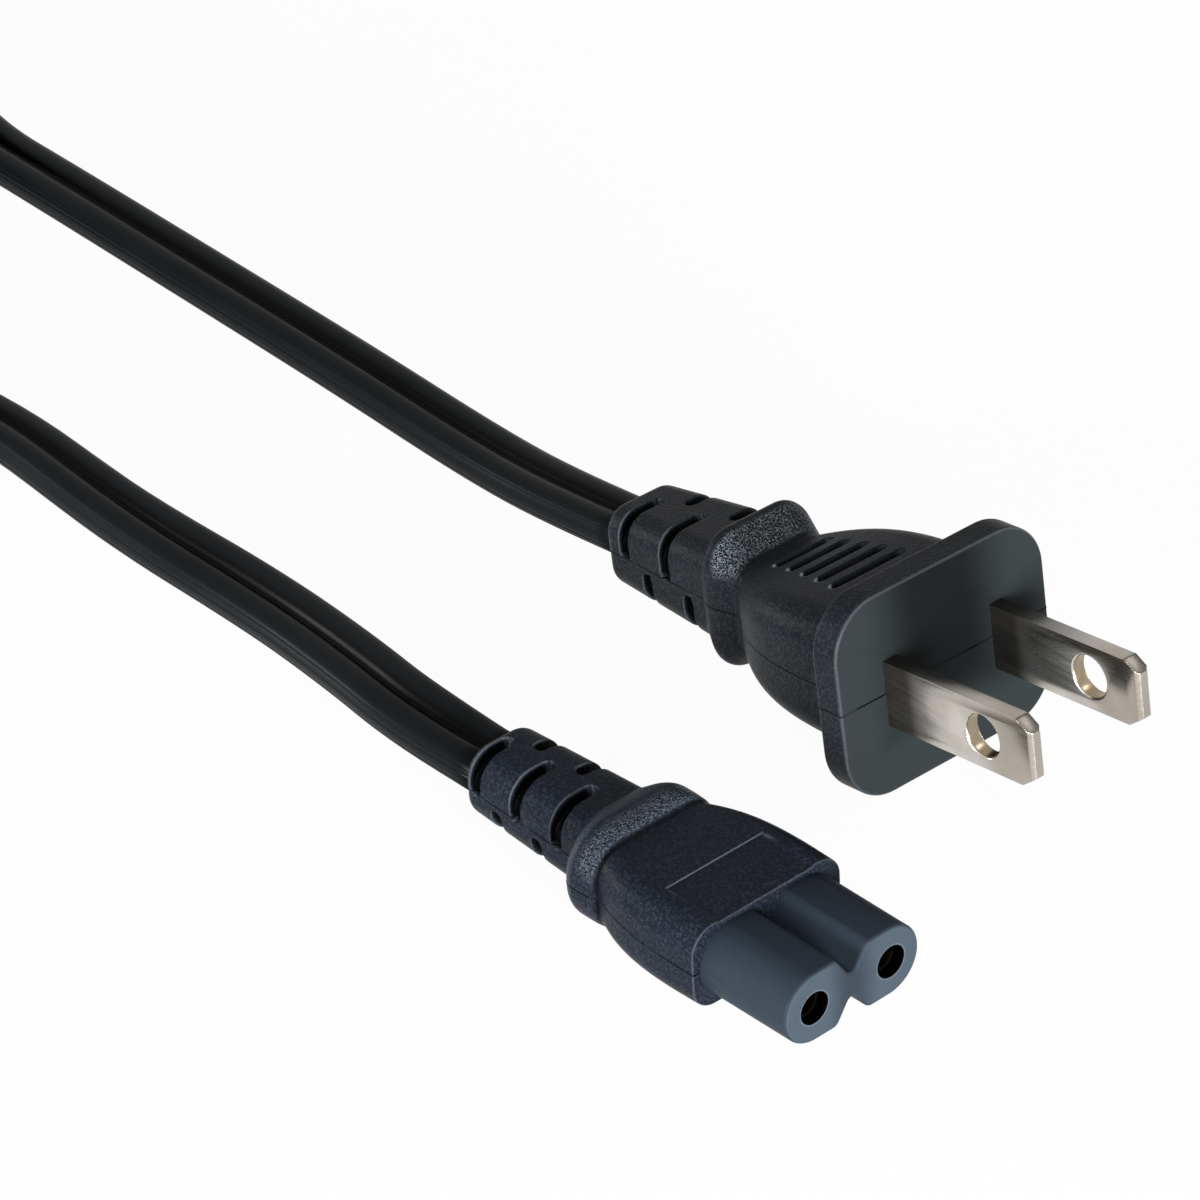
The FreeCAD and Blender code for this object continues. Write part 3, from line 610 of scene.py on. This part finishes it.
class Value:
    """A socket of a material that takes part in sums."""

    def __init__(self, paint, socket):
        self.paint = paint
        self.socket = socket

    def math(self, operation, *others):
        """One Math node, whose first value is this one."""
        return self.paint.math(operation, self, *others)

    def __add__(self, other):
        return self.math("ADD", other)

    def __sub__(self, other):
        return self.math("SUBTRACT", other)

    def __rsub__(self, other):
        return self.paint.math("SUBTRACT", other, self)

    def __mul__(self, other):
        return self.math("MULTIPLY", other)

    def __abs__(self):
        return self.math("ABSOLUTE")

    __radd__ = __add__
    __rmul__ = __mul__


class Paint:
    """One material, with its shader and the nodes that feed it."""

    def __init__(self, name, roughness, metallic=0.0, specular=0.5):
        self.material = bpy.data.materials.new(name)
        self.material.use_nodes = True
        self.tree = self.material.node_tree
        self.shader = self.tree.nodes["Principled BSDF"]
        self.set({"Roughness": roughness, "Metallic": metallic, "Specular IOR Level": specular})

    def put(self, socket, value):
        """Links a value to a socket, or sets the socket to a number or colour."""
        if isinstance(value, Value):
            self.tree.links.new(value.socket, socket)
        else:
            socket.default_value = value

    def set(self, inputs):
        """Sets or links the shader's own sockets."""
        for key, value in inputs.items():
            self.put(self.shader.inputs[key], value)

    def node(self, kind, settings, inputs, output=0):
        """Adds a node of that type, gives it its settings, then its sockets' values or links."""
        node = self.tree.nodes.new("ShaderNode" + kind)
        for key, value in settings.items():
            setattr(node, key, value)
        for key, value in inputs.items():
            self.put(node.inputs[key], value)
        return Value(self, node.outputs[output])

    def math(self, operation, *values):
        return self.node("Math", {"operation": operation}, dict(enumerate(values)))

    def place(self):
        """The place on the piece, in metres."""
        return self.node("TexCoord", {}, {}, "Object")

    def attribute(self, name):
        """A number that the piece's points carry."""
        return self.node("Attribute", {"attribute_name": name}, {}, "Fac")

    def dot(self, vector, direction):
        """The length of a vector along a direction."""
        inputs = {0: vector, 1: tuple(direction)}
        return self.node("VectorMath", {"operation": "DOT_PRODUCT"}, inputs, "Value")

    def along(self, place, origin, direction):
        """The distance from the origin along a direction."""
        inputs = {0: place, 1: tuple(origin)}
        return self.dot(self.node("VectorMath", {"operation": "SUBTRACT"}, inputs), direction)

    def distance(self, first, second):
        """The square root of the sum of two squares."""
        return (first * first + second * second).math("SQRT")

    def noise(self, place, per_metre, detail=2.0, roughness=0.5):
        """Cloudy noise from 0 to 1, of that many patches to the metre."""
        inputs = {"Vector": place, "Scale": per_metre, "Detail": detail, "Roughness": roughness}
        return self.node("TexNoise", {}, inputs, 0)

    def ramp(self, value, low, high, start=0.0, end=1.0):
        """Smooth step from start at low to end at high."""
        inputs = {"Value": value, "From Min": low, "From Max": high, "To Min": start, "To Max": end}
        return self.node("MapRange", {"interpolation_type": "SMOOTHSTEP"}, inputs)

    def mix(self, share, first, second):
        """The first colour with that share of the second."""
        inputs = {0: share, 6: first if isinstance(first, Value) else (*first, 1.0),
                  7: second if isinstance(second, Value) else (*second, 1.0)}
        return self.node("Mix", {"data_type": "RGBA"}, inputs, 2)

    def stretch(self, place, scale):
        """The place with each direction scaled."""
        return self.node("Mapping", {}, {"Vector": place, "Scale": scale})

    def bump(self, height, distance):
        """Tilts the surface as a height of that many metres would."""
        inputs = {"Height": height, "Distance": distance, "Strength": 1.0}
        self.set({"Normal": self.node("Bump", {}, inputs)})


def grained_pvc(name, dark, light, painted_sparkle, origin, axes):
    """Black soft PVC with a spark-eroded grain, coarse grains with a painted sparkle where the surface asks
    for them, painted highlights on edges, painted shade, black, in slots, grooves and corners, and the mould's
    parting line where the height over its plane is nought. The front face is smooth, with a painted
    reflection: darker in the middle and at the top than by its outline and lower down.
    """
    roughness = 0.36
    p = Paint(name, roughness, specular=0.03)
    place = p.place()
    fine = p.noise(place, 3600.0, 2.0, 0.6)
    broad = p.noise(place, 90.0)
    grain_sparkle = p.noise(place, 6500.0, 1.0)
    coarse, edge, painted_shade = [p.attribute(layer) for layer in ("coarse", "edge", "painted_shade")]
    height = p.along(place, origin, axes[2])
    front = p.ramp(p.along(place, origin, axes[0]), -0.14 * MM, -0.06 * MM)
    dashes = p.ramp(p.noise(place, 420.0, 1.0), 0.38, 0.5)
    line = p.ramp(abs(height), 0.05 * MM, 0.12 * MM, 1.0, 0.0) * (0.45 + 0.55 * dashes)
    # Painted reflection on the smooth front face: lighter towards its sides and lower down, darker in the
    # middle and at the top
    outer = p.ramp(abs(p.along(place, origin, axes[1])), 2.5 * MM, 9.5 * MM)
    outer = outer.math("MAXIMUM", p.ramp(height, -1.5 * MM, -6.5 * MM))
    face = p.mix(outer, FACE_REFLECTION_DARK, FACE_REFLECTION_LIGHT)
    colour = p.mix(front, p.mix(0.8 * p.ramp(fine, 0.44, 0.68) + 0.2 * broad, dark, light), face)
    # Painted sparkle: pale flecks on the coarse slopes, standing for light caught by their grains
    colour = p.mix(coarse * p.ramp(grain_sparkle, 0.42, 0.66), colour, painted_sparkle)
    # Painted highlights: paler on sharp edges, the panel's outline and the slots' rear lips, and a whiter
    # glint by the grooves
    colour = p.mix(edge * 0.5, colour, EDGE_HIGHLIGHT)
    colour = p.mix(p.ramp(edge, 1.05, 1.45), colour, GLINT)
    # Painted shade, black, in slots, grooves and the feet of slopes, together with the parting line's own dark
    # colour
    colour = p.mix(painted_shade.math("MAXIMUM", line) * 0.92, colour, BLACK)
    p.set({"Base Color": colour, "Roughness": roughness + 0.10 * (fine - 0.5) - 0.08 * coarse})
    p.bump(fine * (1 - front) * 0.06 + grain_sparkle * coarse * 0.35, 1.0 * MM)
    return p.material


def nose_plastic():
    """The harder moulding of the nose: smoother and a little greyer, with painted shade, black, inside its pin
    holes, a painted highlight round their rims and painted light on the front of its lobes.

    A hole is where the distance from its axis is under its radius, and its rim a little further out.
    """
    p = Paint("nose_plastic", 0.34, specular=0.025)
    place = p.place()
    fine = p.noise(place, 2600.0)
    broad = p.noise(place, 120.0)
    aside = abs(p.along(place, connector_face, connector_axes[1])) - float(pin_left[1])
    up = p.along(place, connector_face, connector_axes[2])
    distance = p.distance(aside, up)
    # Painted shade: black inside the pin holes; painted highlight: a pale ring round their rims
    hole = p.ramp(distance, HOLE_RADIUS + 0.01 * MM, HOLE_RADIUS + 0.05 * MM, 1.0, 0.0)
    rim = p.ramp(distance, HOLE_RADIUS + 0.08 * MM, HOLE_RADIUS + 0.20 * MM, 1.0, 0.0)
    front = p.ramp(p.along(place, connector_face, connector_axes[0]), -0.10 * MM, -0.04 * MM)
    lobes = p.ramp(aside + float(pin_left[1]), 0.3 * MM, 3.2 * MM)
    # Painted light on the front faces of the lobes, less towards the web between them
    colour = p.mix(front * lobes, p.mix(0.6 * broad + 0.4 * fine, NOSE_DARK, NOSE_LIGHT), NOSE_FRONT_LIT)
    colour = p.mix(hole, p.mix(rim * 0.35, colour, EDGE_HIGHLIGHT), BLACK)
    p.set({"Base Color": colour, "Roughness": 0.38 + 0.12 * fine})
    p.bump(fine, 0.010 * MM)
    return p.material


def lead_pvc():
    """Extruded PVC: satin, patchy in tone, with painted shade, black, in the groove between its conductors."""
    p = Paint("lead_pvc", 0.30, specular=0.03)
    place = p.place()
    fine = p.noise(place, 1500.0)
    broad = p.noise(place, 60.0, 3.0)
    # Painted shade: black in the groove between the conductors
    colour = p.mix(p.attribute("painted_shade") * 0.9, p.mix(broad, LEAD_DARK, LEAD_LIGHT), BLACK)
    p.set({"Base Color": colour, "Roughness": 0.24 + 0.12 * broad})
    p.bump(fine, 0.006 * MM)
    return p.material


def nickel():
    """Nickel plating over brass: bright, brushed along the blade, with painted shade and a dark painted
    reflection near its root, and browner at its tip.

    Smooth steps of the distance from the plug's face, and of how far the surface faces up, set the tones; the
    upward faces and the top corner by the tip take painted shade.
    Between the two sides of a blade, near its hole's axis, some brass shows.
    """
    p = Paint("nickel_plate", 0.24, metallic=1.0)
    place = p.place()
    along = p.along(place, plug_face, plug_ahead)
    brushed = p.noise(p.stretch(place, (120.0, 2400.0, 2400.0)), 1.0, 3.0)
    stain = p.noise(place, 260.0, 4.0)
    # Painted shade and dark reflection of the plug near the blade's root, which is also rougher
    root = p.ramp(along, 2.6 * MM, 5.4 * MM, 1.0, 0.0)
    tip = p.ramp(along, 9.0 * MM, 14.5 * MM)
    facing_up = p.dot(p.node("TexCoord", {}, {}, "Normal"), plug_axes[2])
    # Painted shade on upward faces, fading towards the tip, and on the top corner by the tip
    top = p.ramp(facing_up, 0.8, 0.95) * p.ramp(along, 6.0 * MM, 14.0 * MM, 1.0, 0.25)
    corner = p.ramp(facing_up, 0.35, 0.6) * p.ramp(along, 16.0 * MM, 16.5 * MM)
    across = abs(p.along(place, plug_face, plug_left)) - BLADE_SPACING / 2
    inside = p.ramp(abs(across), 0.60 * MM, 0.68 * MM, 1.0, 0.0)
    distance = p.distance(along - BLADE_HOLE_DISTANCE, p.along(place, plug_face, plug_axes[2]))
    hole = inside * p.ramp(distance, 2.15 * MM, 2.3 * MM, 1.0, 0.0)
    bright = p.mix(p.ramp(stain, 0.3, 0.7), NICKEL_BRIGHT, NICKEL_DULL)
    colour = p.mix(tip * 0.7, bright, NICKEL_TIP)
    # Painted shade and reflection near the root, and painted shade on the upward faces
    colour = p.mix(root * 0.92, colour, NICKEL_ROOT_REFLECTION)
    colour = p.mix((top + corner) * 0.8, colour, NICKEL_TOP_SHADE)
    colour = p.mix(hole * 0.8, colour, BRASS_TINGE)
    p.set({"Base Color": colour, "Roughness": 0.20 + 0.14 * brushed + 0.15 * root})
    p.bump(brushed, 0.004 * MM)
    return p.material


def metal(name, dark, light, roughness):
    """Dull metal with a patchy tone and fine drawn marks."""
    p = Paint(name, roughness, metallic=1.0)
    place = p.place()
    patch = p.noise(place, 500.0, 3.0)
    fine = p.noise(p.stretch(place, (300.0, 3000.0, 3000.0)), 1.0)
    p.set({"Base Color": p.mix(patch, dark, light), "Roughness": roughness + 0.2 * (fine - 0.5)})
    p.bump(fine, 0.006 * MM)
    return p.material


def plain_plastic(name, dark, light, roughness):
    """Smooth black plastic with a faint grain."""
    p = Paint(name, roughness, specular=0.06)
    fine = p.noise(p.place(), 2200.0)
    p.set({"Base Color": p.mix(fine, dark, light), "Roughness": roughness + 0.1 * (fine - 0.5)})
    p.bump(fine, 0.01 * MM)
    return p.material


def strap():
    """The coil's tie: a ribbed strap, its ribs running along it."""
    p = Paint("strap", 0.5, specular=0.06)
    place = p.place()
    bands = {"wave_type": "BANDS", "bands_direction": "Y"}
    rib = p.node("TexWave", bands, {"Vector": place, "Scale": 330.0})
    fine = p.noise(place, 2500.0)
    p.set({"Base Color": p.mix(fine, STRAP_DARK, STRAP_LIGHT), "Roughness": 0.45 + 0.12 * fine})
    p.bump(rib + 0.1 * fine, 0.08 * MM)
    return p.material


def cover(piece, material):
    """Gives a piece that material alone."""
    piece.data.materials.clear()
    piece.data.materials.append(material)


# Studio

def camera():
    """The camera looks from its azimuth and elevation at a point of the floor."""
    a, e = CAMERA_AZIMUTH, CAMERA_ELEVATION
    ahead = Vector((-math.sin(a) * math.cos(e), math.cos(a) * math.cos(e), -math.sin(e)))
    right = Vector((math.cos(a), math.sin(a), 0.0))
    up = right.cross(ahead)
    c, s = math.cos(CAMERA_ROLL), math.sin(CAMERA_ROLL)
    right, up = c * right + s * up, c * up - s * right
    place = Matrix((right, up, -ahead)).transposed().to_4x4()
    place.translation = CAMERA_TARGET - CAMERA_DISTANCE * ahead
    data = bpy.data.cameras.new("camera")
    data.lens = LENS
    data.sensor_width = SENSOR_WIDTH
    data.clip_start = CLIP_START
    obj = placed("camera", data)
    obj.matrix_world = place
    bpy.context.scene.camera = obj


def seen(p):
    """1 for camera, glossy and transmission rays, 0 for the rays that light the object."""
    path = p.tree.nodes.new("ShaderNodeLightPath")
    camera_ray, glossy_ray, clear_ray = [
        Value(p, path.outputs[name]) for name in ("Is Camera Ray", "Is Glossy Ray", "Is Transmission Ray")]
    return (camera_ray + glossy_ray + clear_ray).math("MINIMUM", 1.0)


def floor():
    """A wide white floor: mostly white light where it is looked at, and a surface that takes a shadow."""
    mesh = bpy.data.meshes.new("floor")
    h = FLOOR_HALF
    mesh.from_pydata([(-h, -h, 0), (h, -h, 0), (h, h, 0), (-h, h, 0)], [], [(0, 1, 2, 3)])
    p = Paint("floor", 0.9, specular=0.0)
    p.set({"Base Color": (FLOOR_GREY, FLOOR_GREY, FLOOR_GREY, 1.0)})
    glow = p.tree.nodes.new("ShaderNodeEmission")
    glow.inputs["Strength"].default_value = 1.0
    joined = p.tree.nodes.new("ShaderNodeMixShader")
    p.put(joined.inputs[0], seen(p) * FLOOR_GLOW)
    p.tree.links.new(p.shader.outputs[0], joined.inputs[1])
    p.tree.links.new(glow.outputs[0], joined.inputs[2])
    p.tree.links.new(joined.outputs[0], p.tree.nodes["Material Output"].inputs["Surface"])
    mesh.materials.append(p.material)
    placed("floor", mesh)


def world():
    """A dim even surround that looks white where it is seen."""
    scene = bpy.context.scene
    scene.world = bpy.data.worlds.new("world")
    scene.world.use_nodes = True
    tree = scene.world.node_tree
    background = tree.nodes["Background"]
    background.inputs["Color"].default_value = (1, 1, 1, 1)
    path = tree.nodes.new("ShaderNodeLightPath")
    total = path.outputs["Is Camera Ray"]
    for name in ("Is Glossy Ray", "Is Transmission Ray"):
        add = tree.nodes.new("ShaderNodeMath")
        tree.links.new(total, add.inputs[0])
        tree.links.new(path.outputs[name], add.inputs[1])
        total = add.outputs[0]
    strength = tree.nodes.new("ShaderNodeMapRange")
    strength.inputs["To Min"].default_value = SURROUND
    tree.links.new(total, strength.inputs["Value"])
    tree.links.new(strength.outputs[0], background.inputs["Strength"])


def lamp(name, place, size, power, aim):
    """A square lamp at a place, turned to a point."""
    data = bpy.data.lights.new(name, "AREA")
    data.size = size
    data.energy = power
    obj = placed(name, data)
    obj.location = place
    obj.rotation_euler = (Vector(aim) - Vector(place)).to_track_quat("-Z", "Y").to_euler()


def dress():
    """Makes every piece and gives it its material."""
    black = grained_pvc("connector_pvc", CONNECTOR_DARK, CONNECTOR_LIGHT, CONNECTOR_PAINTED_SPARKLE,
                        connector_face, connector_axes)
    warm = grained_pvc("plug_pvc", PLUG_DARK, PLUG_LIGHT, PLUG_PAINTED_SPARKLE, plug_face, plug_axes)
    plate = nickel()
    lead, path = lead_tube(lead_line())
    skins = {"connector_housing": connector_skin(), "plug_housing": plug_skin(),
             "connector_insert": bevelled("connector_insert", NOSE_BEVEL, "connector_nose")}
    blades = {"plug_blade_" + side: bevelled("plug_blade_" + side, BLADE_BEVEL, "blade_" + side)
              for side in ("left", "right")}
    slots = {s["node"]: s["material_slot"] for s in frame["record"]["subparts"]}
    for node, piece in {**skins, **blades}.items():
        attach(piece, "root")
        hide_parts(node)
    cover(skins["connector_housing"], black)
    cover(skins["plug_housing"], warm)
    cover(skins["connector_insert"], nose_plastic())
    for piece in blades.values():
        cover(piece, plate)
    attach(lead, "root")
    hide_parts("cord_run_connector", "cord_coil", "cord_run_plug")
    cover(lead, lead_pvc())
    # The contacts' colours are painted shade: near black, for the shade inside the pin holes
    inner = {"contact_bronze": metal("contact_bronze", BRONZE_SHADE_DARK, BRONZE_SHADE_LIGHT, 0.7),
             "strand_copper": metal("strand_copper", COPPER_DARK, COPPER_LIGHT, 0.35),
             "core_insulation": plain_plastic("core_pvc", CORE_DARK, CORE_LIGHT, 0.4),
             "bridge_black": plain_plastic("bridge_plastic", BRIDGE_DARK, BRIDGE_LIGHT, 0.55),
             "tie_black": strap()}
    for node, obj in frame["nodes"].items():
        if slots[node] in inner:
            cover(obj, inner[slots[node]])
    on_lead = [skins["plug_housing"], *blades.values()]
    on_lead += [obj for node, obj in frame["nodes"].items()
                if node in ("plug_bridge", "coil_tie") or node.startswith(("plug_leg", "plug_strands"))]


camera()
floor()
world()
for name, (place, size, power, aim) in LAMPS.items():
    lamp(name, place, size, power, aim)
dress()

bpy.context.scene.view_settings.view_transform = "Standard"
